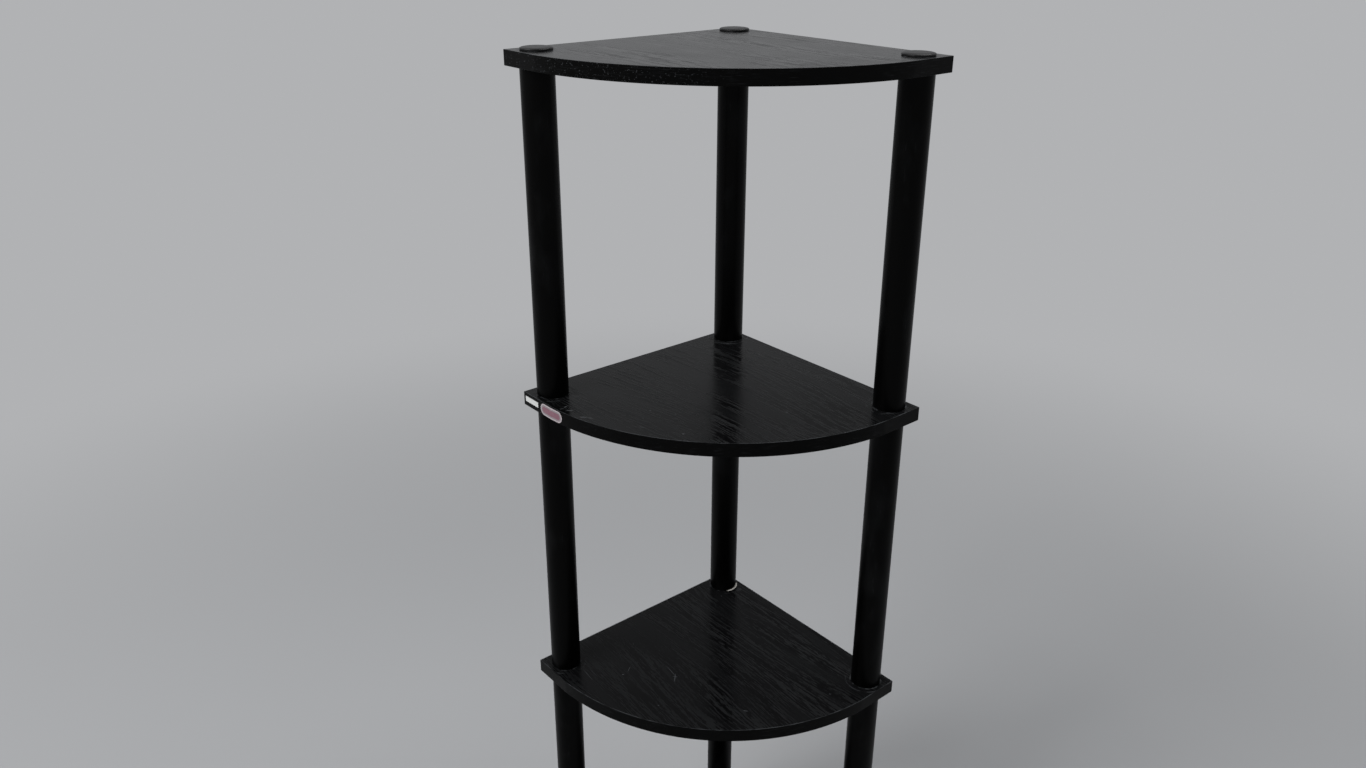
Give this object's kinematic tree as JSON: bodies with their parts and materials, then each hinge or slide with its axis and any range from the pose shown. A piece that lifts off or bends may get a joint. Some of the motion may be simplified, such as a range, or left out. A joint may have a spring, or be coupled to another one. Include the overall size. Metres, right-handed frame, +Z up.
{
  "type": "corner shelf unit",
  "caption": "Free-standing corner shelf unit: quarter-round black wood-grain shelves clamped between screw-together round tubes, with screw-in top caps and short feet.",
  "frame": {"origin": "on the floor, under the middle of the unit's width and depth", "axes": "+Z up, -Y towards the curved front, +Y towards the corner of the room, +X to the right seen from the front"},
  "size_m": [0.42, 0.3132, 1.108],
  "materials": {
    "laminate_board": "black wood-grain embossed laminate, satin",
    "edge_plastic": "black edge-banding strip, satin",
    "tube_plastic": "black extruded tube, satin",
    "moulded_plastic": "black moulded plastic, fine matt texture",
    "white_paper": "plain white sticker paper",
    "silver_paper": "plain silver-rimmed sticker, faded pink field"
  },
  "bodies": {
    "root": {"shelf_bottom": "laminate_board", "shelf_lower": "laminate_board", "shelf_upper": "laminate_board", "shelf_top": "laminate_board", "edge_band_bottom": "edge_plastic", "edge_band_lower": "edge_plastic", "edge_band_upper": "edge_plastic", "edge_band_top": "edge_plastic", "tube_bottom_left": "tube_plastic", "tube_bottom_right": "tube_plastic", "tube_bottom_back": "tube_plastic", "tube_middle_left": "tube_plastic", "tube_middle_right": "tube_plastic", "tube_middle_back": "tube_plastic", "tube_top_left": "tube_plastic", "tube_top_right": "tube_plastic", "tube_top_back": "tube_plastic", "tube_socket_bottom_left": "moulded_plastic", "tube_socket_bottom_right": "moulded_plastic", "tube_socket_bottom_back": "moulded_plastic", "tube_socket_middle_left": "moulded_plastic", "tube_socket_middle_right": "moulded_plastic", "tube_socket_middle_back": "moulded_plastic", "tube_socket_top_left": "moulded_plastic", "tube_socket_top_right": "moulded_plastic", "tube_socket_top_back": "moulded_plastic", "tube_stud_bottom_left": "moulded_plastic", "tube_stud_bottom_right": "moulded_plastic", "tube_stud_bottom_back": "moulded_plastic", "tube_stud_middle_left": "moulded_plastic", "tube_stud_middle_right": "moulded_plastic", "tube_stud_middle_back": "moulded_plastic", "tube_stud_top_left": "moulded_plastic", "tube_stud_top_right": "moulded_plastic", "tube_stud_top_back": "moulded_plastic", "cap_left": "moulded_plastic", "cap_right": "moulded_plastic", "cap_back": "moulded_plastic", "foot_left": "moulded_plastic", "foot_right": "moulded_plastic", "foot_back": "moulded_plastic", "paper_strip_label": "white_paper", "pill_label": "silver_paper"}
  },
  "joints": []
}
